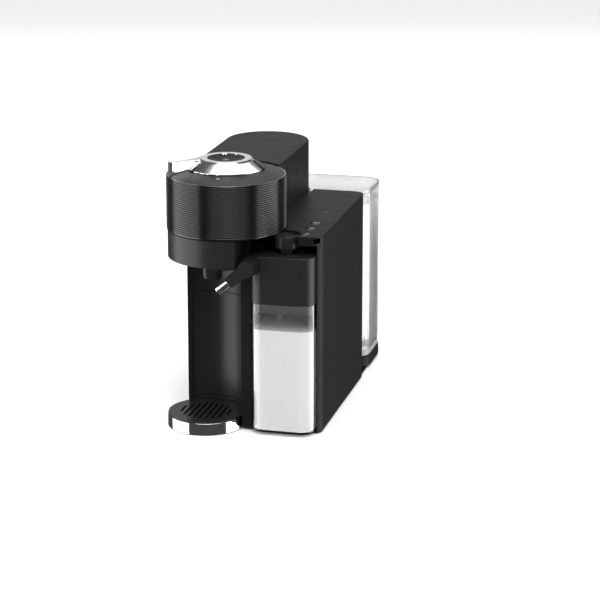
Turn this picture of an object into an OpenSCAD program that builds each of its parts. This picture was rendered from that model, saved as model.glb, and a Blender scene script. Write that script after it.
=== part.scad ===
// Pod coffee machine with a hinged brewing head, a milk module and a lift-off water tank.
// +Z is up, -Y is the front. The pieces are drawn about the axis of the round brewing head
// and then moved so that the origin lies under the middle of the footprint.

/* [Brewing head] */
// Outer radius of the ribbed band
head_r = 69.5; // [66:0.5:74]
// Height of the underside of the fixed lower head
head_bottom = 204; // [196:1:206]
// Height of the parting line between the lower head and the lid
parting_z = 236.7; // [234:0.1:240]
// Height of the rim of the lid
rim_z = 300.7; // [292:0.1:304]
// Overall height, up to the top of the lever ring
total_h = 319; // [316:1:330]
// Number of ribs on the band
rib_count = 24; // [12:1:30]
// Depth of the grooves between the ribs
rib_depth = 0.7; // [0.3:0.1:1]
// Wall thickness of the mouldings
wall = 2.4; // [2:0.1:3]
// Right-hand limit of the lower head, where the milk side begins
lower_cut_x = 26.5; // [25:0.5:28]

/* [Lid hinge] */
// Distance of the hinge axis behind the head axis
hinge_y = 90; // [86:1:96]
// Height of the hinge axis
hinge_z = 295.5; // [290:0.5:296]
// Opening angle of the lid, in degrees
lid_open = 40; // [30:1:42]
// Radius of the hinge pin
hinge_pin_r = 1.8; // [1.5:0.1:2.2]
// Half distance between the middles of the two hinge arms
hinge_arm_x = 25; // [20:1:30]
// Width of one hinge arm
hinge_arm_w = 8; // [6:0.5:9]

/* [Lever and brew button] */
// Outer radius of the top of the lever ring
lever_top_r = 31.7; // [29:0.1:34]
// Outer radius of the foot of the front facet
facet_r = 45; // [42:0.5:47]
// Reach of the lever tab from the head axis
lever_reach = 67; // [60:0.5:69]
// Radius of the brew button
button_r = 20.8; // [17:0.1:23]
// Travel of the brew button
button_travel = 1.2; // [0.6:0.1:1.6]

/* [Rear cover] */
// Width of the rear cover
cover_w = 101.7; // [96:0.1:103]
// Height of the top of the rear cover
cover_top = 302; // [296:0.5:306]
// Distance of the centre of the round rear end behind the head axis
cover_back_y = 186.9; // [170:0.1:200]

/* [Main body] */
// Half width of the main body
body_half_w = 53.5; // [52:0.1:55]
// Distance of the front of the column behind the head axis
column_front_y = 12; // [8:1:18]
// Distance where the body widens behind the milk jug
body_wide_y = 38; // [38:1:44]
// Height of the underside of the casings
casing_z = 3.2; // [2.6:0.1:5]

/* [Milk module] */
// Right-hand side of the milk module, from the head axis
module_right = 118.8; // [116:0.1:126]
// Left-hand face of the partition beside the cup
partition_x = 24.4; // [24:0.1:26]
// Distance of the front of the milk module ahead of the head axis
module_front = 29; // [26:0.5:34]
// Distance of the rear of the milk module behind the head axis
module_back = 207.9; // [180:0.1:214]
// Height of the top of the milk module
module_top_z = 237.7; // [236:0.1:242]
// Height of the seam below the top block
module_seam_z = 205; // [200:0.5:208]
// Radius of one recipe button
recipe_r = 6.2; // [4:0.1:7]
// Distance between two recipe buttons
recipe_pitch = 26.6; // [18:0.1:28]

/* [Milk jug] */
// Left-hand side of the jug
jug_left = 37.6; // [37.4:0.1:42]
// Right-hand side of the jug
jug_right = 112.3; // [105:0.1:113]
// Distance of the front of the jug ahead of the head axis
jug_front = 44; // [38:0.5:48]
// Depth of the jug from front to back
jug_d = 77; // [60:0.5:77]
// Radius of the upright edges of the jug
jug_corner_r = 16; // [8:0.5:18]
// Thickness of the wall of the jug
jug_wall = 2.2; // [1.6:0.1:3]
// Height of the top of the jug, where its lid begins
jug_top_z = 158.6; // [140:0.1:165]
// Height of the top of the jug lid
jug_lid_top = 215.2; // [205:0.1:216]
// Radius of the froth knob
knob_r = 14; // [10:0.1:14.5]
// Height of the top of the froth knob
knob_top_z = 236; // [228:0.1:236]
// Forward travel of the jug, in millimetres
jug_travel = 110; // [80:5:140]

/* [Milk spout] */
// Distance of the spout axis to the right of the head axis
spout_x = 38.4; // [38:0.1:40]
// Height of the spout axis
spout_z = 203; // [198:0.5:203]
// Length of the spout arm
spout_len = 40; // [32:0.5:44]
// Slope of the spout arm below the horizontal, in degrees
spout_slope = 40; // [36:1:46]

/* [Cup support] */
// Radius of the drip tray
tray_r = 45.3; // [40:0.1:46]
// Distance of the middle of the tray to the left of the head axis
tray_left = 21.7; // [20:0.1:24]
// Distance of the middle of the tray ahead of the head axis
tray_ahead = 17.7; // [16:0.1:20]
// Height of the top of the cup grid
grid_z = 17; // [15:0.5:22]
// Forward travel of the drip tray
tray_travel = 90; // [60:5:120]

/* [Capsule container] */
// Width of the used capsule container
bin_w = 64; // [56:0.5:66]
// Depth of the used capsule container
bin_d = 118; // [80:1:126]
// Height of the top of the used capsule container
bin_top = 150; // [120:1:158]

/* [Water tank] */
// Left-hand side of the tank
tank_left = 14; // [10:0.5:24]
// Gap between the right-hand sides of the tank and of the module
tank_inset = 1; // [0.5:0.1:3]
// Distance of the front of the tank behind the head axis
tank_front = 229; // [224:0.5:240]
// Depth of the tank
tank_d = 80.8; // [60:0.1:90]
// Radius of the upright edges of the tank
tank_corner_r = 17; // [10:0.5:20]
// Height of the top of the tank lid
tank_top = 233.3; // [200:0.1:240]
// Thickness of the wall of the tank
tank_wall = 2.2; // [1.8:0.1:3]

/* [Capsule drive] */
// Inner radius of the spinning capsule holder
capsule_r = 31.2; // [29:0.1:32]
// Radius of the spindle under the capsule holder
spindle_r = 4; // [3:0.1:5]
// Distance of the motor axis behind the head axis
motor_y = 62; // [54:1:66]
// Pitch radius of the pulley on the spindle
spindle_pulley_r = 11; // [9:0.5:11.5]
// Pitch radius of the pulley on the motor
motor_pulley_r = 5.5; // [4.5:0.5:7]

/* [Fits] */
// Radial clearance of a turning fit
run_fit = 0.05; // [0.03:0.01:0.1]
// Clearance around a moving piece
gap = 0.5; // [0.4:0.05:0.8]
// Clearance between two fixed casings
seam = 0.2; // [0.1:0.05:0.4]

/* [Hidden] */
$fn = 96;
eps = 0.01;

// Outline and frame
tank_right = module_right - tank_inset;
tank_back = tank_front + tank_d;
middle_x = (module_right - head_r) / 2;
middle_y = (tank_back + tank_inset - head_r) / 2;
body_top = module_top_z;

// Lower head and lid
parting_gap = 0.6;
lower_top = parting_z - parting_gap;
lower_r = head_r - 1;
cone_r = facet_r + 1;
cone_z = rim_z + 6.3;
lid_hole_r = 24;
guide_r = 9;
guide_top = cone_z - 5;
groove_depth = 1.5;
rib_pitch = (rim_z - parting_z - 3) / rib_count;
frame_z0 = hinge_z - 27;
frame_h = 16;
frame_ring_w = 8;

// Lever and button
lever_base = cone_z + gap;
lever_skirt_top = total_h - 2.4;
facet_dir = 291;
facet_flare = 47;
slot_w = 4.2;
arm_w = 5;
tab_t = 3.4;
tab_w = 9;
tab_z = rim_z + 1.8;
arm_angle = 207;
hub_r = 21.8;
arm_root = hub_r + 2;

// Hinge
arm_half = 3.2;
cheek_t = 3;
cheek_x = hinge_arm_x + hinge_arm_w / 2 + gap;
cover_front_r = head_r + 1.3;
cover_skin = 1.8;
spring_wire = 0.8;

// Milk module
bay_left = jug_left - 1.1;
bay_right = jug_right + 1.2;
bay_back = jug_d - jug_front + 3;
module_corner = 18;
rear_corner = 13;
panel_t = 2.5;
block_h = 10.7;
block_z = module_top_z - block_h;
notch_r = knob_r + 1.9;
knob_x = 76.3;
knob_y = -17.6;
recipe_x = 97;
recipe_y0 = -15.2;
head_cut_r = head_r + 1.5;

// Milk jug
jug_z = casing_z + 0.4;
jug_back = jug_d - jug_front;
collar_h = 11;
lid_block_z = jug_lid_top - 32;
socket_r = 11.4;
socket_y = -(jug_front + 6);
hub_len = 10.6;
spout_hub_r = 9.4;
spout_arm_end = spout_len - 13;
knob_neck = 6.6;

// Cup support
tray_x = -tray_left;
tray_y = -tray_ahead;
tray_z = 0.8;
band_t = 1;
band_h = 14;
recess_r = tray_r + 1.2;
plate_z = 1.2;
plate_t = casing_z - plate_z;
tongue_half = 24;

// Capsule container
bin_x = -16;
bin_z = grid_z + 4;
bin_front = 31;

// Tank
dock_wall = 2;
dock_floor = casing_z + 6;
dock_rim = casing_z + 14;
tank_floor = dock_floor + 0.4;
tank_lid_t = 5;
valve_x = (tank_left + tank_right) / 2 + 6;
valve_y = tank_front + 24;

// Drive
belt_z = head_bottom - 7;
belt_w = 5;
belt_t = 1.4;
cup_z = head_bottom + 5;
cup_r = 27.4;
cup_top = lower_top - 1.6;
drive_floor = belt_z - 4;

// Everything below is drawn about the head axis; this moves it to the origin.
module place() {
    translate([-middle_x, -middle_y, 0]) children();
}

// Rectangle from (x0, y0) to (x1, y1) with round corners
module round_rect(x0, y0, x1, y1, r) {
    translate([x0 + r, y0]) square([x1 - x0 - 2 * r, y1 - y0]);
    translate([x0, y0 + r]) square([x1 - x0, y1 - y0 - 2 * r]);
    for (x = [x0 + r, x1 - r], y = [y0 + r, y1 - r]) translate([x, y]) circle(r);
}

// Upright slab of a 2D outline between two heights
module slab(z0, z1) {
    translate([0, 0, z0]) linear_extrude(z1 - z0) children();
}

module tube(r_out, r_in, z0, z1) {
    slab(z0, z1) difference() { circle(r_out); circle(r_in); }
}

// ---- outlines ----

// Main body in plan, shrunk by inset
module body_outline(inset = 0) {
    h = body_half_w - inset;
    difference() {
        union() {
            translate([-h, body_wide_y + inset]) square([2 * h, cover_back_y - body_wide_y - inset]);
            translate([-h, column_front_y])
                square([h + partition_x - seam - inset, cover_back_y - column_front_y]);
            translate([0, cover_back_y]) circle(h);
        }
        translate([tray_x, tray_y]) circle(recess_r + inset);
    }
}

// Milk module in plan, without the jug bay
module module_outline() {
    x0 = partition_x;
    difference() {
        union() {
            translate([x0, -module_front]) square([bay_left - x0, module_front + body_wide_y]);
            round_rect(bay_left - 20, -module_front, module_right, body_wide_y + 40, module_corner);
            round_rect(body_half_w, body_wide_y, module_right, module_back, rear_corner);
            translate([body_half_w, body_wide_y]) square([30, module_back - body_wide_y]);
        }
        translate([x0 - 100, -module_front - 1]) square([100, 400]);
        translate([-1, body_wide_y]) square([body_half_w + seam + 1, 400]);
    }
}

module bay_outline() {
    translate([bay_left, -module_front - 1]) square([bay_right - bay_left, module_front + 1 + bay_back]);
}

// Space of the milk module behind the jug bay, shrunk by one wall
module module_cavity() {
    round_rect(body_half_w + seam + wall, bay_back + wall + 3, module_right - wall,
        module_back - wall, rear_corner - wall);
}

module jug_outline(inset = 0) {
    round_rect(jug_left + inset, -jug_front + inset, jug_right - inset, jug_back - inset,
        max(jug_corner_r - inset, 1));
}

module tank_outline(inset = 0) {
    difference() {
        round_rect(tank_left + inset, tank_front + inset, tank_right - inset, tank_back - inset,
            tank_corner_r - inset);
        translate([0, cover_back_y]) circle(body_half_w + 3 + inset);
    }
}

// ---- base ----

module base_plate() {
    color("#1c1c1e") difference() {
        slab(plate_z, casing_z) {
            body_outline(1);
            intersection() {
                module_outline();
                translate([0, -module_front + 6]) square([module_right - 1, 400]);
            }
            translate([bay_left - 2, -module_front + 8])
                square([bay_right - bay_left + 3, module_front - 8 + body_wide_y]);
            translate([tank_left + 2, module_back - 30])
                square([tank_right - tank_left - 4, tank_back - module_back + 26]);
            translate([tray_x, tray_y - 8]) circle(tongue_half);
            translate([tray_x - tongue_half, tray_y - 8]) square([2 * tongue_half, 60]);
        }
        for (p = foot_places()) translate([p.x, p.y, plate_z - eps])
            cylinder(r = foot_r + 0.1, h = 0.6);
        for (p = screw_places()) translate([p.x, p.y, plate_z - eps])
            cylinder(r = 1.7, h = plate_t + 2 * eps);
    }
}

foot_r = 7;
function foot_places() = [
    [tray_x, tray_y - 18], [partition_x + 22, -12], [module_right - 16, -8], [-34, 205],
    [module_right - 18, module_back - 20], [tank_left + 20, tank_back - 18],
    [tank_right - 20, tank_back - 18]
];

module rubber_feet() {
    color("#2a2a2a") for (p = foot_places()) translate([p.x, p.y, 0])
        cylinder(r = foot_r, h = plate_z + 0.6 - eps);
}

function screw_places() = [
    [-40, 60], [-40, 150], [40, 150], [module_right - 12, 60], [module_right - 12, 180],
    [75, 60], [75, 180], [0, 222]
];

module base_screws() {
    color("silver") for (p = screw_places()) translate([p.x, p.y, 0]) {
        translate([0, 0, plate_z - 0.9]) cylinder(r = 2.8, h = 0.9);
        translate([0, 0, plate_z - eps]) cylinder(r = 1.5, h = plate_t + 6);
    }
}

// ---- main body ----

module body_shell() {
    color("#29292b") difference() {
        slab(casing_z + seam, body_top) body_outline();
        slab(casing_z + seam + wall, body_top - wall) body_outline(wall);
        // seat of the lower head and of the drive
        translate([0, 0, head_bottom - seam]) cylinder(r = lower_r + seam, h = 60);
        translate([0, 0, parting_z - gap]) cylinder(r = cover_front_r, h = 60);
        slab(drive_floor - wall - seam, head_bottom) translate([-drive_half - seam, -10])
            square([2 * (drive_half + seam), motor_y + 32]);
        // opening of the used capsule container
        translate([bin_x - bin_w / 2 - gap, 0, bin_z - gap])
            cube([bin_w + 2 * gap, column_front_y + 30, bin_top - bin_z + 2 * gap]);
        // screw pilot holes
        for (p = screw_places()) translate([p.x, p.y, 0]) cylinder(r = 1.7, h = 12);
    }
}

drive_half = 23.8;
outlet_tube_r = 4.4;

// ---- lower head ----

module lower_head() {
    color("#2b2b2d") difference() {
        union() {
            intersection() {
                union() {
                    tube(lower_r, lower_r - wall, head_bottom, lower_top);
                    slab(head_bottom, head_bottom + wall) circle(lower_r - wall + eps);
                    translate([lower_cut_x - wall, -lower_r, head_bottom])
                        cube([wall, 2 * lower_r, lower_top - head_bottom]);
                }
                translate([-100, -100, 0]) cube([100 + lower_cut_x, 200, 400]);
                translate([0, 0, head_bottom]) cylinder(r = lower_r, h = 60);
            }
            slab(head_bottom, lower_top - 1) circle(collector_r);
        }
        slab(head_bottom + wall, lower_top + 1) circle(collector_r - wall);
        translate([0, 0, head_bottom - 1]) cylinder(r = bearing_r, h = 10);
        // coffee channel down to the outlet
        translate([outlet_x, outlet_y, head_bottom - 1]) cylinder(r = 3.4, h = 10);
    }
}

// Room that the lower head takes out of the casings around it
module lower_head_space() {
    slab(head_bottom - seam, lower_top + 20) {
        intersection() {
            circle(lower_r + seam);
            translate([-100, -100]) square([100 + lower_cut_x + seam, 200]);
        }
        circle(collector_r + seam);
    }
}

bearing_r = 9;
collector_r = capsule_r + 4.8;
outlet_x = -14.2;
outlet_y = -12;
outlet_z = 177;
outlet_nozzle_r = 6.4;
outlet_half_w = 11.2;

module drive_cover() {
    color("#222224") difference() {
        union() {
            slab(drive_floor - wall, head_bottom - seam) {
                circle(drive_half);
                translate([-drive_half, 0]) square([2 * drive_half, motor_y + 20]);
            }
        }
        slab(drive_floor, head_bottom) {
            circle(drive_half - wall);
            translate([-drive_half + wall, 0]) square([2 * (drive_half - wall), motor_y + 20 - wall]);
        }
        translate([outlet_x, outlet_y, drive_floor - 10]) cylinder(r = outlet_tube_r + seam, h = 40);
        translate([0, motor_y, drive_floor - 10]) cylinder(r = 6, h = 20);
        translate([0, 0, drive_floor - 10]) cylinder(r = spindle_r + 1, h = 20);
    }
}

// Tube from the lower head with a wide nozzle below the drive cover
module coffee_outlet() {
    nozzle_top = drive_floor - wall - gap;
    color("#1b1b1c") translate([outlet_x, outlet_y, 0]) difference() {
        union() {
            slab(outlet_z, head_bottom - eps) circle(outlet_tube_r);
            slab(outlet_z + 2, nozzle_top) nozzle_outline(outlet_nozzle_r);
            slab(outlet_z, outlet_z + 2) nozzle_outline(outlet_nozzle_r - 1);
        }
        translate([0, 0, outlet_z - 1]) cylinder(r = 3.4, h = 60);
    }
}

module nozzle_outline(r) {
    for (s = [-1, 1]) translate([s * (outlet_half_w - outlet_nozzle_r), 0]) circle(r);
    translate([outlet_nozzle_r - outlet_half_w, -r]) square([2 * (outlet_half_w - outlet_nozzle_r), 2 * r]);
}

module spindle_bearing() {
    color("silver") translate([0, 0, head_bottom - 1]) difference() {
        cylinder(r = bearing_r - 0.02, h = 5);
        translate([0, 0, -1]) cylinder(r = spindle_r + run_fit, h = 10);
    }
}

// Cup that holds the capsule and spins with it
module capsule_holder() {
    color("#5a5a5e") rotate_extrude() polygon([
        [0, drive_floor + 1], [spindle_r, drive_floor + 1], [spindle_r, cup_z], [19, cup_z],
        [cup_r + 1.6, cup_z + 8], [cup_r + 1.6, cup_top - 3], [capsule_r + 1.4, cup_top - 3],
        [capsule_r + 1.4, cup_top], [capsule_r, cup_top], [capsule_r, cup_top - 1.2],
        [cup_r, cup_top - 1.2], [cup_r, cup_z + 9], [15, cup_z + 2.4], [0, cup_z + 2.4]
    ]);
}

module toothed_pulley(r, bore, z0, h, teeth) {
    translate([0, 0, z0]) difference() {
        cylinder(r = r, h = h);
        for (i = [0 : teeth - 1]) rotate(i * 360 / teeth) translate([r, 0, -1]) cylinder(r = 0.6, h = h + 2);
        translate([0, 0, -1]) cylinder(r = bore, h = h + 2);
    }
}

module spindle_pulley() {
    color("#d8d8d2") toothed_pulley(spindle_pulley_r, spindle_r, belt_z - belt_w / 2 - 0.6, belt_w + 1.2, 24);
}

module motor_pulley() {
    color("#d8d8d2") translate([0, motor_y, 0]) {
        toothed_pulley(motor_pulley_r, 2.5, belt_z - belt_w / 2 - 0.6, belt_w + 1.2, 12);
        translate([0, 0, drive_floor - 8]) cylinder(r = 2.5, h = belt_z + belt_w / 2 + 1 - drive_floor + 8);
    }
}

// Motor can, open at the top for the pulley shaft
module drive_motor() {
    color("#8b8d90") translate([0, motor_y, 0]) difference() {
        union() {
            translate([0, 0, drive_floor - wall - 36 - seam]) cylinder(r = 18, h = 36);
            translate([0, 0, drive_floor - wall - seam - eps]) cylinder(r = 5.4, h = wall + seam);
        }
        translate([0, 0, drive_floor - 9]) cylinder(r = 2.5 + run_fit, h = 20);
    }
}

// Belt that lies around the two pulleys, with straight runs on their common tangents
module drive_belt() {
    r0 = spindle_pulley_r + 0.3;
    r1 = motor_pulley_r + 0.3;
    color("#1a1a1a") slab(belt_z - belt_w / 2, belt_z + belt_w / 2) difference() {
        belt_outline(r0 + belt_t, r1 + belt_t);
        belt_outline(r0, r1);
    }
}

module belt_outline(r0, r1) {
    a = asin((r0 - r1) / motor_y);
    circle(r0);
    translate([0, motor_y]) circle(r1);
    polygon([
        [r0 * cos(a), r0 * sin(a)], [r1 * cos(a), motor_y + r1 * sin(a)],
        [-r1 * cos(a), motor_y + r1 * sin(a)], [-r0 * cos(a), r0 * sin(a)]
    ]);
}

// ---- lid ----

module lid_band() {
    ribs = [for (i = [0 : rib_count - 1]) each [
        [head_r, parting_z + 1.5 + i * rib_pitch],
        [head_r, parting_z + 1.5 + (i + 0.45) * rib_pitch],
        [head_r - rib_depth, parting_z + 1.5 + (i + 0.72) * rib_pitch]
    ]];
    outer = concat([[head_r - 0.8, parting_z]], ribs, [[head_r, rim_z - 1.5], [head_r - 0.6, rim_z]]);
    color("#1f1f21") difference() {
        rotate_extrude() polygon(concat([[head_r - wall, parting_z]], outer, [[head_r - wall, rim_z]]));
        for (s = [-1, 1]) translate([s * hinge_arm_x, 0, 0]) arm_slot(40, 40);
    }
}

// Slot for one hinge arm, from y0 back by depth
module arm_slot(y0, depth) {
    translate([-hinge_arm_w / 2 - gap, y0, frame_z0 - 5]) cube([hinge_arm_w + 2 * gap, depth, hinge_z - frame_z0 + 1]);
}

module lid_cap() {
    t = wall;
    color("#3a3a3c") difference() {
        rotate_extrude() polygon([
            [lid_hole_r, cone_z - t], [cone_r, cone_z - t], [head_r - wall - 0.1, rim_z - t],
            [head_r - wall - 0.1, rim_z + 0.2], [cone_r, cone_z], [lid_hole_r, cone_z]
        ]);
        // grooves on both sides of the facet
        slab(cone_z - groove_depth, cone_z + 1) intersection() {
            difference() { circle(facet_r + 0.8); circle(lever_top_r + 1.5); }
            difference() { facet_plan(slot_w + 0.6); facet_plan(-0.6); }
        }
    }
}

// Ring inside the lid that carries the two hinge arms
module lid_frame() {
    r = head_r - wall - 0.1;
    color("#303033") {
        difference() {
            union() {
                tube(r, r - frame_ring_w, frame_z0, frame_z0 + frame_h);
                slab(frame_z0, frame_z0 + 3) circle(r - 1);
                // boss that carries the clamp disc
                slab(parting_z + 7, frame_z0 + eps) circle(clamp_hub_r + 4);
                // guide of the brew button
                slab(frame_z0 + 3 - eps, guide_top) circle(guide_r);
                slab(guide_top - 2, guide_top) circle(guide_r + 5);
            }
            translate([0, 0, parting_z + 6]) cylinder(r = clamp_hub_r + run_fit, h = clamp_hub_h);
            translate([0, 0, parting_z]) cylinder(r = needle_r + 0.02, h = frame_z0 + 2 - parting_z);
            translate([0, 0, frame_z0 + 5]) cylinder(r = stem_r + run_fit, h = 60);
        }
        for (s = [-1, 1]) translate([s * hinge_arm_x, 0, 0]) hinge_arm();
    }
}

// Arm that drops from the knuckle at the opening angle and meets the ring
module hinge_arm() {
    y_in = sqrt(pow(head_r - wall - 1, 2) - pow(hinge_arm_x, 2)) - frame_ring_w / 2;
    reach = (hinge_y - y_in) / cos(lid_open + 2);
    difference() {
        intersection() {
            translate([-hinge_arm_w / 2, hinge_y, hinge_z]) rotate([lid_open + 2, 0, 0]) {
                translate([0, -reach, -arm_half]) cube([hinge_arm_w, reach, 2 * arm_half]);
                rotate([90, 0, 90]) cylinder(r = arm_half, h = hinge_arm_w);
            }
            translate([-20, y_in, 0]) cube([40, 200, 400]);
        }
        translate([-hinge_arm_w / 2 - 1, hinge_y, hinge_z]) rotate([90, 0, 90])
            cylinder(r = hinge_pin_r + run_fit, h = hinge_arm_w + 2);
    }
}

// Underside of the lid, with an opening for the clamp disc
module lid_floor() {
    color("#232325") tube(head_r - wall - 0.1, clamp_r + 1, parting_z, parting_z + wall);
}

clamp_r = capsule_r + 4;
clamp_hub_r = 8;
clamp_hub_h = 12;
needle_r = 2.6;
stem_r = 6;

module head_gasket() {
    color("#3a3a3a") tube(clamp_r + 0.9, clamp_r + 0.4, parting_z + 0.4, parting_z + 2);
}

// Disc that clamps the rim of the capsule and turns with it
module clamp_disc() {
    color("#4b4b4f") difference() {
        union() {
            translate([0, 0, parting_z - 1]) cylinder(r = capsule_r - 0.3, h = 4);
            translate([0, 0, parting_z + 0.5]) cylinder(r = clamp_r, h = 5);
            translate([0, 0, parting_z + 5]) cylinder(r = clamp_hub_r, h = clamp_hub_h);
        }
        translate([0, 0, parting_z - 2]) cylinder(r = needle_r + 0.4, h = 30);
    }
}

// Hollow needle that lets the water into the capsule
module piercing_needle() {
    color("silver") {
        translate([0, 0, parting_z - 7]) cylinder(r1 = 0.5, r2 = needle_r, h = 6);
        translate([0, 0, parting_z - 1 - eps]) cylinder(r = needle_r, h = frame_z0 + 2 - parting_z);
    }
}

// ---- lever and button ----

// Plan of the facet, with straight sides that flare outwards, widened by w on each side
module facet_plan(w = 0) {
    l = 2 * facet_r;
    h = lever_top_r / 2 + w / cos(facet_flare);
    rotate(facet_dir) polygon([[0, -h], [l, -h - l * tan(facet_flare)], [l, h + l * tan(facet_flare)], [0, h]]);
}

module lever() {
    color("silver") {
        // ring around the brew button and its sleeve in the cap
        rotate_extrude() polygon([
            [hub_r, lever_base - 9], [lid_hole_r - run_fit, lever_base - 9],
            [lid_hole_r - run_fit, lever_base + 3], [lever_top_r + 1.2, lever_base + 3],
            [lever_top_r + 1.2, lever_base + 5], [lever_top_r, lever_skirt_top],
            [lever_top_r - 2, total_h], [hub_r, total_h]
        ]);
        // skirt that slopes down to the cap, with a slot on each side of the front facet
        intersection() {
            rotate_extrude() polygon([
                [lever_top_r - 4, lever_base + 0.2], [facet_r, lever_base + 0.2],
                [facet_r, lever_base + 1.2], [lever_top_r, lever_skirt_top],
                [lever_top_r - 4, lever_skirt_top]
            ]);
            slab(lever_base, total_h) {
                facet_plan();
                difference() { circle(facet_r + 1); facet_plan(slot_w); }
            }
        }
        // horn-shaped arm with its upright tab
        rotate(arm_angle) {
            intersection() {
                slab(lever_base - 6, total_h) arm_plan();
                translate([0, 30, 0]) rotate([90, 0, 0]) linear_extrude(60) polygon([
                    [arm_root, lever_base + 3], [facet_r - 2, lever_base + 0.6],
                    [lever_reach - 1, lever_base - 4.5], [lever_reach, lever_base - 4.5],
                    [lever_reach, total_h - 2.4], [arm_root, total_h - 0.6]
                ]);
            }
            translate([lever_reach - tab_t, -tab_w / 2, tab_z]) cube([tab_t, tab_w, total_h - 2 - tab_z]);
        }
    }
}

// Plan of the arm: straight at the front, and curved into the ring at the back
module arm_plan() {
    n = 16;
    root_half = 0.62 * lever_top_r;
    edge = [for (i = [n : -1 : 0]) let (q = i / n) [arm_root + q * (lever_reach - arm_root),
        -arm_w / 2 - (root_half - arm_w / 2) * pow(1 - q, 2.4)]];
    polygon(concat([[arm_root, arm_w / 2], [lever_reach, arm_w / 2]], edge));
}

// Ring under the cap that the lever turns to lock the lid
module locking_ring() {
    z0 = lever_base - 12;
    color("#9a9a9d") {
        tube(hub_r + 14, hub_r + 0.05, z0, z0 + 3 - eps);
        for (a = [30, 150, 270]) rotate(a) translate([hub_r + 13, -6, z0]) cube([12, 12, 3 - eps]);
    }
}

module brew_button() {
    color("#1a1a1c") {
        translate([0, 0, total_h - 7]) cylinder(r = button_r, h = 6.4);
        translate([0, 0, guide_top - 12]) cylinder(r = stem_r, h = total_h - 6 - guide_top + 12);
    }
}

// Coil spring between the guide and the brew button
module button_spring() {
    color("silver") coil(11.5, 0.5, guide_top + 0.6, total_h - 7.6, 3.5);
}

// Round wire wound from z0 to z1, with a ring of points at each step
module coil(r, wire, z0, z1, turns) {
    steps = 20 * turns;
    sides = 8;
    points = [for (i = [0 : steps], j = [0 : sides - 1]) let (
        a = 360 * turns * i / steps, b = 360 * j / sides, q = r + wire * cos(b)
    ) [q * cos(a), q * sin(a), z0 + (z1 - z0) * i / steps + wire * sin(b)]];
    skin = [for (i = [0 : steps - 1], j = [0 : sides - 1]) let (k = (j + 1) % sides)
        [i * sides + j, i * sides + k, (i + 1) * sides + k, (i + 1) * sides + j]];
    ends = [[for (j = [0 : sides - 1]) sides - 1 - j], [for (j = [0 : sides - 1]) steps * sides + j]];
    polyhedron(points = points, faces = concat(skin, ends));
}

// ---- rear cover and hinge ----

module cover_outline(inset = 0) {
    h = cover_w / 2 - inset;
    difference() {
        union() {
            translate([-h, 0]) square([2 * h, cover_back_y]);
            translate([0, cover_back_y]) circle(h);
        }
        circle(cover_front_r + inset);
        translate([-100, -100]) square([200, 100]);
        rotate(180) translate([-100, 0]) square([200, 100]);
    }
}

module rear_cover() {
    z0 = body_top + seam;
    color("#353538") difference() {
        slab(z0, cover_top) cover_outline();
        slab(z0 - 1, cover_top - cover_skin) cover_outline(wall);
        translate([-100, -100, z0 - 1]) cube([200, 100 + 30, 100]);
        for (s = [-1, 1]) translate([s * hinge_arm_x, 0, 0]) {
            translate([-hinge_arm_w / 2 - gap, 50, frame_z0 - 5])
                cube([hinge_arm_w + 2 * gap, 30, cover_top - cover_skin - frame_z0 + 5]);
        }
    }
}

module hinge_bracket() {
    z0 = body_top + seam;
    color("#7d7f82") difference() {
        union() {
            translate([-cheek_x - cheek_t - 6, hinge_y - 9, z0]) cube([2 * (cheek_x + cheek_t + 6), 18, 2.5]);
            for (s = [-1, 1]) translate([s > 0 ? cheek_x : -cheek_x - cheek_t, hinge_y - 5, z0])
                cube([cheek_t, 10, hinge_z + 3.5 - z0]);
        }
        translate([-60, hinge_y, hinge_z]) rotate([90, 0, 90]) cylinder(r = hinge_pin_r, h = 120);
    }
}

module hinge_pin() {
    l = 2 * (cheek_x + cheek_t) + 2;
    color("silver") translate([-l / 2, hinge_y, hinge_z]) rotate([90, 0, 90]) cylinder(r = hinge_pin_r - 0.01, h = l);
}

// Close-wound spring on the pin that helps to lift the lid
module lid_spring() {
    n = 12;
    color("silver") for (i = [0 : n - 1]) translate([(i - (n - 1) / 2) * 1.5 * spring_wire, hinge_y, hinge_z])
        rotate([90, 0, 90]) rotate_extrude() translate([hinge_pin_r + 0.3 + spring_wire, 0]) circle(spring_wire, $fn = 16);
}

// ---- milk module ----

module module_housing() {
    color("#262628") difference() {
        slab(casing_z + seam, module_seam_z - seam / 2) module_outline();
        slab(0, module_seam_z + 1) bay_outline();
        lower_head_space();
        slab(casing_z + seam + wall, module_seam_z + 1) module_cavity();
        // partition is hollow
        translate([partition_x + wall, -module_front + wall, casing_z + seam + wall])
            cube([bay_left - partition_x - 2 * wall, module_front + body_wide_y - 2 * wall, module_seam_z]);
        translate([steam_x, bay_back - 1, steam_z]) rotate([-90, 0, 0]) cylinder(r = 5, h = 10);
        for (p = screw_places()) translate([p.x, p.y, 0]) cylinder(r = 1.7, h = 12);
        translate([gland_x, module_back - wall - 1, gland_z]) rotate([-90, 0, 0]) cylinder(r = gland_r, h = 10);
    }
}

module module_top() {
    z1 = module_top_z - panel_t - seam / 2;
    color("#262628") difference() {
        slab(module_seam_z + seam / 2, z1) module_outline();
        // jug bay up to the lid, then the room over the lid, open above the knob
        slab(module_seam_z - 1, block_z) bay_outline();
        slab(module_seam_z - 1, 300) knob_notch();
        slab(module_seam_z - 1, z1 - wall) module_cavity();
        // pocket for the switches of the recipe buttons
        slab(block_z + wall, z1 + 1) translate([knob_x + notch_r + wall, -module_front + wall])
            square([module_right - notch_r - knob_x - 2 * wall,
                module_front - wall + recipe_y0 + 2 * recipe_pitch + recipe_r + 2]);
        lower_head_space();
    }
}

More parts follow.
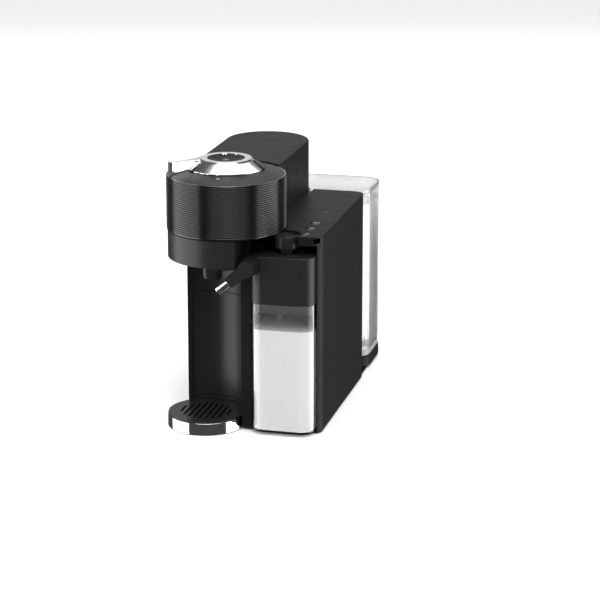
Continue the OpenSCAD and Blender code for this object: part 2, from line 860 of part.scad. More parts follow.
// Notch in the top of the module for the froth knob, open to the front
module knob_notch() {
    translate([knob_x, knob_y]) circle(notch_r);
    translate([knob_x - notch_r, -module_front - 1]) square([2 * notch_r, knob_y + module_front + 1]);
    translate([partition_x + 12, -module_front - 1]) square([knob_x - partition_x - 12, knob_y + module_front + 1]);
    translate([bay_left, -module_front - 1]) square([knob_x - bay_left, module_front]);
}

module control_panel() {
    z0 = module_top_z - panel_t;
    color("#343436") difference() {
        slab(z0, module_top_z) module_outline();
        slab(z0 - 1, module_top_z + 1) knob_notch();
        translate([0, 0, module_top_z - 10]) cylinder(r = head_cut_r, h = 60);
        slab(z0 - 1, module_top_z + 1) translate([-1, body_wide_y - 10])
            square([cover_w / 2 + 1 + seam, 400]);
        for (i = [0 : 2]) translate([recipe_x, recipe_y0 + i * recipe_pitch, z0 - 1])
            cylinder(r = recipe_r + 0.3, h = 10);
        for (i = [0 : 1]) translate([recipe_x, lamp_y0 + i * 18.4, z0 - 1]) cylinder(r = 2.2, h = 10);
    }
}

lamp_y0 = 73.2;

module recipe_button(i) {
    color("#111113") translate([recipe_x, recipe_y0 + i * recipe_pitch, 0]) {
        translate([0, 0, module_top_z - panel_t + 1]) cylinder(r = recipe_r, h = panel_t - 0.4);
        translate([0, 0, module_top_z - panel_t - 3]) cylinder(r = 2, h = 5);
    }
}
module recipe_button_front() { recipe_button(0); }
module recipe_button_middle() { recipe_button(1); }
module recipe_button_rear() { recipe_button(2); }

module indicator_lamps() {
    color("#e8e4d8") for (i = [0 : 1]) translate([recipe_x, lamp_y0 + i * 18.4, module_top_z - panel_t])
        cylinder(r = 2.1, h = panel_t + 0.1);
}

module control_board() {
    color("#1f5a3a") translate([body_half_w + 12, bay_back + 12, module_seam_z + 4]) cube([46, 90, 1.6]);
}

// Folded sheet that carries the pump and the thermoblock
module inner_frame() {
    x0 = body_half_w + seam + wall + 1;
    z0 = casing_z + seam + wall;
    color("#8f9194") difference() {
        union() {
            translate([x0, bay_back + 12, z0]) cube([1.5, 130, 150]);
            translate([x0, bay_back + 12, z0]) cube([50, 130, 1.5]);
            translate([x0, 56, thermo_z - 1.5]) cube([50, 68, 1.5]);
            for (y = [128, 160]) translate([x0, y, z0]) cube([50, 2, 34]);
        }
        translate([pump_x, 120, pump_z]) rotate([-90, 0, 0]) cylinder(r = 16.1, h = 60);
        for (p = screw_places()) translate([p.x, p.y, 0]) cylinder(r = 1.7, h = 12);
    }
}

thermo_z = 90;
pump_x = 84;
pump_z = 34;

module thermoblock() {
    color("#9fa2a6") translate([62, 60, thermo_z]) difference() {
        cube([44, 60, 34]);
        for (x = [10, 34]) translate([x, -1, 17]) rotate([-90, 0, 0]) cylinder(r = 3, h = 70);
    }
}

module pump() {
    color("#c9cbce") translate([pump_x, 124, pump_z]) rotate([-90, 0, 0]) {
        cylinder(r = 16, h = 40);
        translate([0, 0, -12]) cylinder(r = 6, h = 12 + eps);
        translate([0, 0, 40 - eps]) cylinder(r = 5, h = 14);
    }
}

steam_x = 72;
steam_z = 190;

// Steam connector that enters the back of the jug lid
module steam_nozzle() {
    color("#8f9194") translate([steam_x, 0, steam_z]) rotate([-90, 0, 0]) difference() {
        union() {
            translate([0, 0, jug_back - 8]) cylinder(r = 3.4, h = bay_back - jug_back + 8 + 12);
            translate([0, 0, bay_back - 0.05]) cylinder(r = 4.9, h = 5);
        }
        translate([0, 0, jug_back - 9]) cylinder(r = 1.6, h = 60);
    }
}

// ---- milk jug ----

module milk_jug() {
    color("#dfe6ea") difference() {
        union() {
            slab(jug_z + 4, jug_top_z) jug_outline();
            hull() {
                slab(jug_z + 4, jug_z + 4.5) jug_outline();
                slab(jug_z, jug_z + 0.2) jug_outline(3.5);
            }
        }
        slab(jug_z + 5, jug_top_z + 1) jug_outline(jug_wall);
    }
}

module jug_lid() {
    color("#242426") difference() {
        union() {
            slab(jug_top_z + seam, jug_lid_top) jug_outline();
            slab(jug_top_z - collar_h, jug_top_z + seam + eps) jug_outline(jug_wall + 0.4);
            // socket of the milk spout
            translate([spout_x, -module_front - 0.6, spout_z]) rotate([90, 0, 0])
                cylinder(r = socket_r, h = -module_front - 0.6 - socket_y);
        }
        // hollow around the milk tube
        slab(jug_top_z - collar_h - 1, lid_block_z) jug_outline(jug_wall + 4);
        // pocket of the froth knob
        translate([knob_x, knob_y, jug_lid_top - 5]) cylinder(r = 5 + run_fit, h = 10);
        // steam socket at the back
        translate([steam_x, jug_back + 1, steam_z]) rotate([90, 0, 0]) cylinder(r = 3.4 + gap, h = 11);
        // bore of the spout axle
        translate([spout_x, -jug_front + 2, spout_z]) rotate([90, 0, 0]) cylinder(r = 5 + run_fit, h = 40);
        // pockets of the two catches
        for (s = [0, 1]) catch_pocket(s);
        translate([milk_tube_x, milk_tube_y, lid_block_z - 1]) cylinder(r = 3, h = 7);
    }
}

milk_tube_x = 60;
milk_tube_y = 14;

// Pocket for one side catch: s is 0 on the left and 1 on the right
module catch_pocket(s) {
    translate([s > 0 ? jug_right - 3 : jug_left - 7, catch_y - 0.3, jug_lid_top - 24.3])
        cube([10, catch_len + 0.6, catch_h + 0.6]);
}

catch_y = -20;
catch_len = 30;
catch_h = 16;
catch_t = 1.4;

module lid_catch(s) {
    proud = s > 0 ? 0.6 : 0.5;
    color("#2f2f32") translate([s > 0 ? jug_right - catch_t : jug_left - proud, catch_y, jug_lid_top - 24])
        cube([catch_t + proud, catch_len, catch_h]);
}
module lid_catch_right() { lid_catch(1); }
module lid_catch_left() { lid_catch(0); }

module froth_knob() {
    z0 = jug_lid_top + 0.4;
    color("#2c2c2f") translate([knob_x, knob_y, 0]) difference() {
        union() {
            translate([0, 0, z0 + knob_neck]) cylinder(r = knob_r, h = knob_top_z - z0 - knob_neck);
            translate([0, 0, z0]) cylinder(r = 8.5, h = knob_neck + eps);
            translate([0, 0, jug_lid_top - 4.6]) cylinder(r = 5, h = 6);
        }
        translate([0, 0, knob_top_z - 1.6]) cylinder(r = knob_r - 1.6, h = 5);
        translate([-1.1, -knob_r - 1, z0 - 1]) cube([2.2, 2.2, 40]);
    }
}

module milk_tube() {
    color("#e6e6e2") translate([milk_tube_x, milk_tube_y, jug_z + 8]) difference() {
        cylinder(r = 2.99, h = lid_block_z + 6 - jug_z - 8);
        translate([0, 0, -1]) cylinder(r = 1.9, h = 300);
    }
}

// Arm that swings on the socket and reaches over the cup
module milk_spout() {
    color("#2a2a2c") translate([spout_x, socket_y - 0.3, spout_z]) rotate([90, 0, 0]) difference() {
        union() {
            cylinder(r = spout_hub_r, h = hub_len);
            translate([0, 0, -8]) cylinder(r = 5, h = 9);
            rotate(180 + spout_slope) hull() {
                translate([4, 0, 0.6]) cylinder(r = 8, h = hub_len - 1.2, $fn = 32);
                translate([spout_arm_end, 0, 0.6]) cylinder(r = 6.4, h = hub_len - 1.2, $fn = 32);
            }
        }
        rotate(180 + spout_slope) translate([spout_arm_end, -10, -1]) cube([20, 20, hub_len + 2]);
        rotate(180 + spout_slope) translate([0, 0, hub_len / 2]) rotate([0, 90, 0]) cylinder(r = 2, h = 100);
    }
}

module spout_tip() {
    color("silver") translate([spout_x, socket_y - 0.3 - hub_len / 2, spout_z]) rotate([0, 180 - spout_slope, 0]) difference() {
        translate([spout_arm_end + 0.02, 0, 0]) rotate([0, 90, 0]) cylinder(r = 5, h = 16.8);
        translate([spout_arm_end - 5, 0, 0]) rotate([0, 90, 0]) cylinder(r = 2, h = 60);
    }
}

// ---- cup support ----

// Way of the base plate's tongue through the underside of the tray
module tongue_way() {
    slab(0, casing_z + 0.3) {
        translate([tray_x, tray_y - 8]) circle(tongue_half + 1);
        translate([tray_x - tongue_half - 1, tray_y - 8]) square([2 * tongue_half + 2, 90]);
    }
}

module drip_tray() {
    color("#1d1d1f") difference() {
        translate([tray_x, tray_y, tray_z]) cylinder(r = tray_r - band_t - 0.05, h = grid_z - tray_z - 2.2);
        translate([tray_x, tray_y, casing_z + 1.6]) cylinder(r = tray_r - band_t - wall, h = 40);
        tongue_way();
    }
}

module tray_band() {
    color("silver") difference() {
        translate([tray_x, tray_y, 0]) tube(tray_r, tray_r - band_t, tray_z, tray_z + band_h);
        tongue_way();
    }
}

module cup_grid() {
    z0 = grid_z - 2;
    color("#17171a") translate([tray_x, tray_y, 0]) difference() {
        translate([0, 0, z0]) cylinder(r = tray_r - 0.6, h = 2);
        for (i = [-4 : 4]) translate([i * 7, 0, z0 - 1]) grid_slot(sqrt(900 - pow(i * 7, 2)));
    }
}

module grid_slot(half) {
    translate([-1.3, -half, 0]) cube([2.6, 2 * half, 5]);
}

// Bin for used capsules; its curved front is the face of the column
module capsule_container() {
    color("#2a2a2c") difference() {
        translate([bin_x - bin_w / 2, 0, bin_z]) cube([bin_w, bin_d, bin_top - bin_z]);
        translate([bin_x - bin_w / 2 + wall, bin_front + wall, bin_z + wall])
            cube([bin_w - 2 * wall, bin_d - bin_front - 2 * wall, bin_top]);
        translate([tray_x, tray_y, 0]) cylinder(r = recess_r, h = 300);
    }
}

// ---- water tank ----

module water_tank() {
    color("#cfdde6") difference() {
        union() {
            slab(tank_floor, dock_rim + 1) tank_outline(dock_wall);
            slab(dock_rim + 0.5, tank_top - tank_lid_t) tank_outline();
        }
        slab(tank_floor + 3, tank_top) tank_outline(dock_wall + tank_wall);
        slab(dock_rim + 3, tank_top) tank_outline(tank_wall);
        translate([valve_x, valve_y, 0]) cylinder(r = 8, h = 40);
    }
}

module tank_lid() {
    color("#b9c6cf") {
        slab(tank_top - tank_lid_t + 0.1, tank_top) tank_outline();
        slab(tank_top - tank_lid_t - 4, tank_top - tank_lid_t + 0.2) difference() {
            tank_outline(tank_wall + 0.3);
            tank_outline(tank_wall + 2);
        }
    }
}

module tank_valve() {
    color("#303033") translate([valve_x, valve_y, 0]) difference() {
        union() {
            translate([0, 0, tank_floor - 0.2]) cylinder(r = 7.98, h = 10);
            translate([0, 0, tank_floor + 3]) cylinder(r = 11, h = 2);
        }
        translate([0, 0, tank_floor - 1]) cylinder(r = 4.5, h = 8);
    }
}

module tank_dock() {
    color("#202022") difference() {
        slab(casing_z + seam, dock_rim) tank_outline(-tank_inset);
        slab(dock_floor, 60) tank_outline(dock_wall - 0.4);
        slab(0, dock_floor - 2.5) tank_outline(2.5);
    }
    color("#202022") translate([valve_x, valve_y, dock_floor - eps]) cylinder(r = 4, h = 6);
}

gland_x = 96;
gland_z = 26;
gland_r = 6;

module cord_gland() {
    color("#1a1a1a") translate([gland_x, module_back - wall - 1.5, gland_z]) rotate([-90, 0, 0]) difference() {
        union() {
            cylinder(r = gland_r - 0.05, h = wall + 4);
            translate([0, 0, wall + 1.6]) cylinder(r = gland_r + 2, h = 2.4);
        }
        translate([0, 0, -1]) cylinder(r = 3.2, h = 20);
    }
}

place() base_plate();
place() rubber_feet();
place() base_screws();
place() body_shell();
place() lower_head();
place() drive_cover();
place() coffee_outlet();
place() spindle_bearing();
place() capsule_holder();
place() spindle_pulley();
place() drive_motor();
place() motor_pulley();
place() drive_belt();
place() lid_band();
place() lid_cap();
place() lid_frame();
place() lid_floor();
place() head_gasket();
place() clamp_disc();
place() piercing_needle();
place() lever();
place() locking_ring();
place() brew_button();
place() button_spring();
place() rear_cover();
place() hinge_bracket();
place() hinge_pin();
place() lid_spring();
place() module_housing();
place() module_top();
place() control_panel();
place() recipe_button_front();
place() recipe_button_middle();
place() recipe_button_rear();
place() indicator_lamps();
place() control_board();
place() inner_frame();
place() thermoblock();
place() pump();
place() steam_nozzle();
place() milk_jug();
place() jug_lid();
place() lid_catch_right();
place() lid_catch_left();
place() froth_knob();
place() milk_tube();
place() milk_spout();
place() spout_tip();
place() drip_tray();
place() tray_band();
place() cup_grid();
place() capsule_container();
place() water_tank();
place() tank_lid();
place() tank_valve();
place() tank_dock();
place() cord_gland();
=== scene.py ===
import math
import bmesh
import bpy
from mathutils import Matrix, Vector


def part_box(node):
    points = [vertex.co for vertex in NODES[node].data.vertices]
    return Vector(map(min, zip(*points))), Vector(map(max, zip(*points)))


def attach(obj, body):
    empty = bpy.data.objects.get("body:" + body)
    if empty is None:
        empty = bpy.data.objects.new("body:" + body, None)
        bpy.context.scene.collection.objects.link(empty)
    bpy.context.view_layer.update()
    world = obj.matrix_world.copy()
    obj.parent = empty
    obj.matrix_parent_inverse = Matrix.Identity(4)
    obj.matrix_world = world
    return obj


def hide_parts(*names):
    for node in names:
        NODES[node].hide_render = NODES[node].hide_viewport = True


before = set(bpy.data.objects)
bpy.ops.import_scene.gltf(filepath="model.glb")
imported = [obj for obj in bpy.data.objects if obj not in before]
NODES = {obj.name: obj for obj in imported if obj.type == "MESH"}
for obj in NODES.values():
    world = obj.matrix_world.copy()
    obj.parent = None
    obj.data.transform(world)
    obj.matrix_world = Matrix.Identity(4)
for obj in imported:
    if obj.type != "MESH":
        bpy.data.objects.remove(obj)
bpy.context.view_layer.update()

bl_info = {
    "name": "Pod Coffee Machine",
    "version": (1, 0, 0),
    "blender": (4, 5, 0),
    "location": "3D View > Sidebar > Machine",
    "description": "Models the visible pieces of a pod coffee machine with a milk jug on its CAD frame",
    "category": "Object",
}

MM = 0.001
MATERIALS = {}


def middle(node):
    """Centre of a CAD node's box, in metres."""
    low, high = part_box(node)
    return (Vector(low) + Vector(high)) / 2


HEAD = middle("lid_band")          # axis of the round brewing head
KNOB = middle("froth_knob")        # axis of the froth knob
RIM_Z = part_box("lid_band")[1][2]
PARTING_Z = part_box("lid_band")[0][2]
PANEL_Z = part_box("control_panel")[1][2]
JUG_LOW, JUG_HIGH = (Vector(c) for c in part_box("milk_jug"))
LID_LOW, LID_HIGH = (Vector(c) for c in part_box("jug_lid"))
TANK_LOW, TANK_HIGH = (Vector(c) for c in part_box("water_tank"))
DOCK_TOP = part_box("tank_dock")[1][2]

NEAR = 0.2 * MM                    # how close a point counts as lying in a plane
SHARP = math.radians(32)           # edges that turn by more than this are rounded
JUG_CORNER, JUG_WALL, JUG_FLOOR = 16 * MM, 2.2 * MM, 2.6 * MM
FILL_GAP = 0.05 * MM               # air left between a wall and what it holds
TANK_WALL, TANK_CORNER, TANK_FLOOR = 2.35 * MM, 17 * MM, 3.15 * MM
FOOT_TOP = 25 * MM                 # top of the grey band round the tank's foot
SHADE_SKIRT_IN, SHADE_SKIRT_OUT = 31.9 * MM, 47 * MM     # radii of the part of the lever's cone that gets painted shade, from the head's axis


# ---- sizes and colours a user would change ----

class MACHINE_PG_shape(bpy.types.PropertyGroup):
    """Sizes of the rounded edges and of the filling."""
    casing_round: bpy.props.FloatProperty(
        name="Casing edge", description="Radius of the large casings' top edges",
        default=2.2 * MM, min=0.0002, max=0.004, subtype="DISTANCE", unit="LENGTH")
    small_round: bpy.props.FloatProperty(
        name="Small edge", description="Radius of the small mouldings' edges",
        default=0.45 * MM, min=0.0001, max=0.001, subtype="DISTANCE", unit="LENGTH")
    rib_depth: bpy.props.FloatProperty(
        name="Rib depth", description="Depth of the grooves between the ribs of the head",
        default=0.7 * MM, min=0.0002, max=0.001, subtype="DISTANCE", unit="LENGTH")
    ribs: bpy.props.IntProperty(
        name="Ribs", description="Number of ribs on the head", default=24, min=8, max=40)
    milk_level: bpy.props.FloatProperty(
        name="Milk level", description="Height of the milk above the floor",
        default=128 * MM, min=0.02, max=0.14, subtype="DISTANCE", unit="LENGTH")
    water_level: bpy.props.FloatProperty(
        name="Water level", description="Height of the water above the floor",
        default=214 * MM, min=0.03, max=0.22, subtype="DISTANCE", unit="LENGTH")


class MACHINE_PG_colours(bpy.types.PropertyGroup):
    """Colours of the finishes, as sRGB hex."""
    gloss_black: bpy.props.StringProperty(
        name="Gloss black", description="Glossy black mouldings", default="#08080A")
    # satin grey also paints the shade on the lever's rear skirt
    satin_grey: bpy.props.StringProperty(
        name="Satin grey", description="Cone-shaped cap", default="#2E2E30")
    cover_grey: bpy.props.StringProperty(
        name="Cover grey", description="Rear cover, control panel and brew button", default="#121213")
    textured_black: bpy.props.StringProperty(
        name="Textured black", description="Casings of the milk side", default="#101011")
    lever: bpy.props.StringProperty(
        name="Lever", description="Satin chrome of the lever", default="#E4E4E6")
    milk: bpy.props.StringProperty(
        name="Milk", description="Milk in the jug", default="#F8F8FA")


# ---- modelling helpers ----

def deselect():
    """Object mode with nothing selected."""
    if bpy.context.object and bpy.context.object.mode != "OBJECT":
        bpy.ops.object.mode_set(mode="OBJECT")
    bpy.ops.object.select_all(action="DESELECT")


def focus(piece):
    """Makes one piece the active and only selected one."""
    deselect()
    piece.select_set(True)
    bpy.context.view_layer.objects.active = piece


def edit(piece, kind="EDGE"):
    focus(piece)
    bpy.ops.object.mode_set(mode="EDIT")
    bpy.ops.mesh.select_mode(type=kind)


def pick_edges(piece, test):
    """In edit mode: selects the edges for which test(edge, bend) holds; bend is the angle of its faces."""
    bpy.ops.mesh.select_all(action="DESELECT")
    mesh = bmesh.from_edit_mesh(piece.data)
    for e in mesh.edges:
        bend = e.calc_face_angle(0.0) if len(e.link_faces) == 2 else 0.0
        if test(e, bend):
            e.select_set(True)
    bmesh.update_edit_mesh(piece.data)


def pick_faces(piece, test):
    bpy.ops.mesh.select_all(action="DESELECT")
    mesh = bmesh.from_edit_mesh(piece.data)
    for f in mesh.faces:
        if test(f):
            f.select_set(True)
    bmesh.update_edit_mesh(piece.data)


def mid(e):
    return (e.verts[0].co + e.verts[1].co) / 2


def finish_mesh(piece, smooth=32):
    """Smooth shading with flat faces kept flat, and the place kept in the mesh."""
    focus(piece)
    bpy.ops.object.transform_apply(location=True, rotation=True, scale=True)
    bpy.ops.object.shade_smooth_by_angle(angle=math.radians(smooth))
    weight = piece.modifiers.new("Normals", "WEIGHTED_NORMAL")
    weight.keep_sharp = True
    bpy.ops.object.modifier_apply(modifier=weight.name)
    return piece


def dress(piece, material, body, slot, *nodes):
    """Gives a piece its material, its body and the CAD nodes that it stands for; slot is not used."""
    piece.data.materials.clear()
    piece.data.materials.append(MATERIALS[material])
    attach(piece, body)
    if nodes:
        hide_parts(*nodes)
    return piece


def soften(node, name, rounds, smooth=32, flat=0.5):
    """Copy of a CAD node with its sharp edges rounded; rounds holds (width, segments, test), in order."""
    piece = bpy.data.objects.new(name, NODES[node].data.copy())
    bpy.context.scene.collection.objects.link(piece)
    edit(piece)
    bpy.ops.mesh.select_all(action="SELECT")
    bpy.ops.mesh.remove_doubles(threshold=0.000004)
    bpy.ops.mesh.dissolve_limited(angle_limit=math.radians(flat))
    for width, segments, test in rounds:
        pick_edges(piece, lambda e, bend: bend > SHARP and test(mid(e)))
        bpy.ops.mesh.bevel(offset=width, segments=segments, profile=0.5, clamp_overlap=True, affect="EDGES")
    bpy.ops.object.mode_set(mode="OBJECT")
    return finish_mesh(piece, smooth)


def everywhere(point):
    return True


def lathe(name, centre, profile, sides=128, closed=True):
    """Turned piece: a circle is extruded and scaled from ring to ring; profile is (radius, height) in mm."""
    deselect()
    r0, z0 = profile[0]
    bpy.ops.mesh.primitive_circle_add(vertices=sides, radius=r0 * MM, location=(centre.x, centre.y, z0 * MM))
    piece = bpy.context.object
    piece.name = name
    bpy.ops.object.mode_set(mode="EDIT")
    bpy.ops.mesh.select_mode(type="EDGE")
    bpy.ops.mesh.select_all(action="SELECT")
    rings = profile[1:] + ([profile[0]] if closed else [])
    ra, za = r0, z0
    for rb, zb in rings:
        bpy.ops.mesh.extrude_region_move(TRANSFORM_OT_translate={"value": (0, 0, (zb - za) * MM)})
        bpy.ops.transform.resize(value=(rb / ra, rb / ra, 1), center_override=(centre.x, centre.y, zb * MM))
        ra, za = rb, zb
    bpy.ops.mesh.select_all(action="SELECT")
    bpy.ops.mesh.remove_doubles(threshold=0.00001)
    bpy.ops.mesh.normals_make_consistent(inside=False)
    bpy.ops.object.mode_set(mode="OBJECT")
    return piece


def rounded_block(name, low, high, corner, segments=10):
    """Block with round upright edges."""
    deselect()
    low, high = Vector(low), Vector(high)
    bpy.ops.mesh.primitive_cube_add(size=1, location=(low + high) / 2, scale=high - low)
    piece = bpy.context.object
    piece.name = name
    bpy.ops.object.transform_apply(location=True, rotation=True, scale=True)
    edit(piece)
    pick_edges(piece, lambda e, bend: abs(e.verts[0].co.z - e.verts[1].co.z) > 0.001)
    bpy.ops.mesh.bevel(offset=corner, segments=segments, profile=0.5, affect="EDGES")
    bpy.ops.object.mode_set(mode="OBJECT")
    return piece


def round_rim(piece, test, width, segments=3):
    edit(piece)
    pick_edges(piece, lambda e, bend: bend > SHARP and test(mid(e)))
    bpy.ops.mesh.bevel(offset=width, segments=segments, profile=0.5, clamp_overlap=True, affect="EDGES")
    bpy.ops.object.mode_set(mode="OBJECT")


# ---- finishes ----

def linear(text, alpha=1.0):
    """sRGB hex to linear colour."""
    parts = [int(text[i:i + 2], 16) / 255 for i in (1, 3, 5)]
    return [c / 12.92 if c <= 0.04045 else ((c + 0.055) / 1.055) ** 2.4 for c in parts] + [alpha]


def add(tree, kind, inputs=(), **settings):
    """Adds one node with its settings; inputs maps a socket's name or number to a value or to an output."""
    node = tree.nodes.new(kind)
    for key, value in settings.items():
        setattr(node, key, value)
    for key, value in dict(inputs).items():
        if isinstance(value, bpy.types.NodeSocket):
            tree.links.new(value, node.inputs[key])
        else:
            node.inputs[key].default_value = value
    return node


def start(name, **shader):
    """New material with its principled shader; shader holds the constants, with _ for a space."""
    material = bpy.data.materials.new(name)
    material.use_nodes = True
    tree = material.node_tree
    bsdf = tree.nodes["Principled BSDF"]
    for key, value in shader.items():
        bsdf.inputs[key.replace("_", " ")].default_value = value
    MATERIALS[name] = material
    return tree, bsdf, add(tree, "ShaderNodeTexCoord").outputs["Object"]


def drive(tree, bsdf, tones=None, rough=None, relief=None):
    """Lets a 0 to 1 pattern drive a finish.

    tones is (pattern, dark, light), rough is (pattern, low, high) and relief is (pattern, depth in mm,
    strength). What is left out keeps the shader's own value.
    """
    if relief:
        pattern, depth, strength = relief
        bump = add(tree, "ShaderNodeBump", {
            "Height": pattern, "Distance": depth * MM, "Strength": strength})
        tree.links.new(bump.outputs["Normal"], bsdf.inputs["Normal"])
    if tones:
        pattern, dark, light = tones
        mix = add(tree, "ShaderNodeMix", {
            "Factor": pattern, "A": linear(dark), "B": linear(light)}, data_type="RGBA")
        tree.links.new(mix.outputs["Result"], bsdf.inputs["Base Color"])
    if rough:
        pattern, low, high = rough
        level = add(tree, "ShaderNodeMapRange", {"Value": pattern, "To Min": low, "To Max": high})
        tree.links.new(level.outputs["Result"], bsdf.inputs["Roughness"])


def grained(name, size_mm, detail, relief, tones, rough, **shader):
    """Finish whose tone, roughness and relief all follow one fine grain; size is the bumps' spacing."""
    tree, bsdf, place = start(name, **shader)
    noise = add(tree, "ShaderNodeTexNoise", {"Vector": place, "Scale": 1000 / size_mm, "Detail": detail})
    grain = noise.outputs["Fac"]
    drive(tree, bsdf, (grain, *tones), (grain, *rough) if rough else None, (grain, *relief))


def clouded(name, size_mm, tones, rough, **shader):
    """Finish with no relief, whose tone and roughness wander over patches of the given size."""
    tree, bsdf, place = start(name, **shader)
    haze = add(tree, "ShaderNodeTexNoise", {"Vector": place, "Scale": 1000 / size_mm, "Detail": 5.0})
    drive(tree, bsdf, (haze.outputs["Fac"], *tones), (haze.outputs["Fac"], *rough))


def shade(text, k):
    """The hex colour made lighter or darker by k."""
    return "#" + "".join(f"{max(0, min(255, round(int(text[i:i + 2], 16) * k))):02X}" for i in (1, 3, 5))


def make_finishes(tones):
    # Injection-moulded gloss ABS: deep black, mirror-like, with the slight waviness of a moulded wall.
    tree, bsdf, place = start("gloss_abs", Roughness=0.16, IOR=1.53, Specular_IOR_Level=0.62)
    slow, fine = (
        add(tree, "ShaderNodeTexNoise", {
            "Vector": place, "Scale": 1000 / size, "Detail": detail}).outputs["Fac"]
        for size, detail in [(18.0, 2.0), (1.2, 4.0)])
    drive(tree, bsdf, (slow, tones.gloss_black, shade(tones.gloss_black, 1.6)),
          (fine, 0.12, 0.24), (slow, 0.02, 0.5))

    # Lacquer on ABS: on the cap a satin titanium grey with metal in it, and on the rear cover, control panel
    # and brew button a darker coat without metal. Tiny flakes break up the highlight. They are drawn at
    # 0.7 mm, coarser than the real ones, so that they show.
    # satin_lacquer also stands in for shade on the lever's rear skirt: painted shade
    for name, grey, metal, low in [("satin_lacquer", tones.satin_grey, 0.25, 0.38),
                                   ("dark_lacquer", tones.cover_grey, 0.0, 0.46)]:
        tree, bsdf, place = start(name, Metallic=metal, IOR=1.5, Specular_IOR_Level=0.16)
        flakes = add(tree, "ShaderNodeTexVoronoi", {"Vector": place, "Scale": 1000 / 0.7}).outputs["Distance"]
        cloud = add(tree, "ShaderNodeTexNoise", {"Vector": place, "Scale": 1000 / 25.0, "Detail": 2.0})
        drive(tree, bsdf, (flakes, shade(grey, 1.18), shade(grey, 0.88)),
              (cloud.outputs["Fac"], low, low + 0.1), (flakes, 0.006, 0.6))

    # Spark-eroded ABS: fine matt texture moulded from an eroded tool, grain about 0.5 mm.
    grained("textured_abs", 0.5, 5.0, (0.03, 0.7),
            (shade(tones.textured_black, 0.85), shade(tones.textured_black, 1.2)), (0.42, 0.56),
            IOR=1.5, Specular_IOR_Level=0.18)

    # Smooth matt ABS: black mouldings of the body, lower head, jug lid, spout, outlet and container,
    # slightly silky.
    grained("silky_abs", 1.1, 4.0, (0.012, 0.5), ("#18181A", "#202022"), (0.28, 0.4),
            IOR=1.5, Specular_IOR_Level=0.3)

    # Glass-filled nylon of the inner mouldings: dull dark grey with faint mottling.
    grained("filled_nylon", 0.8, 6.0, (0.04, 0.8), ("#29292C", "#3A3A3D"), (0.5, 0.7), IOR=1.53)

    # Satin chrome plate on the lever: brushed round the head's axis, so the lines are circles.
    # Real lines are about 0.1 mm apart; they are drawn at 0.5 mm so that they show.
    tree, bsdf, place = start("brushed_chrome", Metallic=1.0)
    centred = add(tree, "ShaderNodeMapping", {"Vector": place, "Location": (-HEAD.x, -HEAD.y, 0)})
    flat = add(tree, "ShaderNodeVectorMath", {0: centred.outputs["Vector"], 1: (1, 1, 0)}, operation="MULTIPLY")
    radius = add(tree, "ShaderNodeVectorMath", {0: flat.outputs["Vector"]}, operation="LENGTH")
    lines = add(tree, "ShaderNodeTexNoise", {"W": radius.outputs["Value"], "Scale": 1000 / 0.5, "Detail": 3.0},
                noise_dimensions="1D").outputs["Fac"]
    drive(tree, bsdf, (lines, shade(tones.lever, 0.93), tones.lever), (lines, 0.16, 0.3), (lines, 0.01, 0.35))

    # Polished chrome plate: bright mirror with faint cleaning marks.
    tree, bsdf, place = start("polished_chrome", Metallic=1.0)
    marks = add(tree, "ShaderNodeTexNoise", {
        "Vector": place, "Scale": 1000 / 6.0, "Detail": 8.0, "Roughness": 0.7}).outputs["Fac"]
    drive(tree, bsdf, (marks, "#CFCFD2", "#DEDEE0"), (marks, 0.03, 0.12))

    # Clear SAN of the jug: moulded clear plastic, faintly milky from use.
    clouded("clear_san", 9.0, ("#FAFAFA", "#FFFFFF"), (0.03, 0.09), Transmission_Weight=1.0, IOR=1.45)

    # Clear tank plastic with a light moulded frost, so the water inside is soft.
    clouded("frosted_san", 12.0, ("#F3F5F6", "#FFFFFF"), (0.08, 0.18), Transmission_Weight=0.92, IOR=1.4)

    # Grey ABS moulded round the foot of the tank: smooth and slightly silky.
    grained("foot_grey", 1.0, 4.0, (0.01, 0.5), ("#8A8D8E", "#9A9D9E"), (0.25, 0.36), IOR=1.5)

    # Milk: opaque white, scatters light just under its surface; a hint of small bubbles at the wall.
    tree, bsdf, place = start("milk", Roughness=0.25, IOR=1.35, Subsurface_Weight=0.15, Subsurface_Scale=0.003)
    foam = add(tree, "ShaderNodeTexVoronoi", {"Vector": place, "Scale": 1000 / 2.5}).outputs["Distance"]
    drive(tree, bsdf, (foam, tones.milk, shade(tones.milk, 0.97)), relief=(foam, 0.05, 0.3))

    # Water: clear, with a slight ripple on its surface.
    grained("water", 14.0, 1.0, (0.08, 0.4), ("#F4FAFC", "#FCFEFF"), None,
            Transmission_Weight=1.0, IOR=1.33, Roughness=0.02)

    # Brushed and rolled steel of screws, pins, springs and brackets.
    tree, bsdf, place = start("rolled_steel", Metallic=1.0)
    drawn = add(tree, "ShaderNodeMapping", {"Vector": place, "Scale": (1, 12, 12)})
    lines = add(tree, "ShaderNodeTexNoise", {
        "Vector": drawn.outputs["Vector"], "Scale": 1000 / 8.0, "Detail": 5.0}).outputs["Fac"]
    drive(tree, bsdf, (lines, "#8E9093", "#B4B6B8"), (lines, 0.22, 0.42))

    # Die-cast aluminium: pale grey, dull, with a sandy skin of about 0.6 mm.
    grained("cast_aluminium", 0.6, 6.0, (0.05, 0.8), ("#8D8F92", "#A9ABAE"), (0.42, 0.6), Metallic=1.0)

    # Moulded rubber: black, dull, slightly dusty.
    grained("moulded_rubber", 0.9, 5.0, (0.03, 0.7), ("#121212", "#1D1D1D"), (0.65, 0.85),
            IOR=1.5, Specular_IOR_Level=0.3)

    # Acetal: white, waxy moulding of the pulleys and the milk tube.
    grained("acetal", 1.5, 3.0, (0.01, 0.5), ("#DAD9D2", "#E6E5DF"), (0.3, 0.42),
            IOR=1.48, Subsurface_Weight=0.1, Subsurface_Scale=0.002)

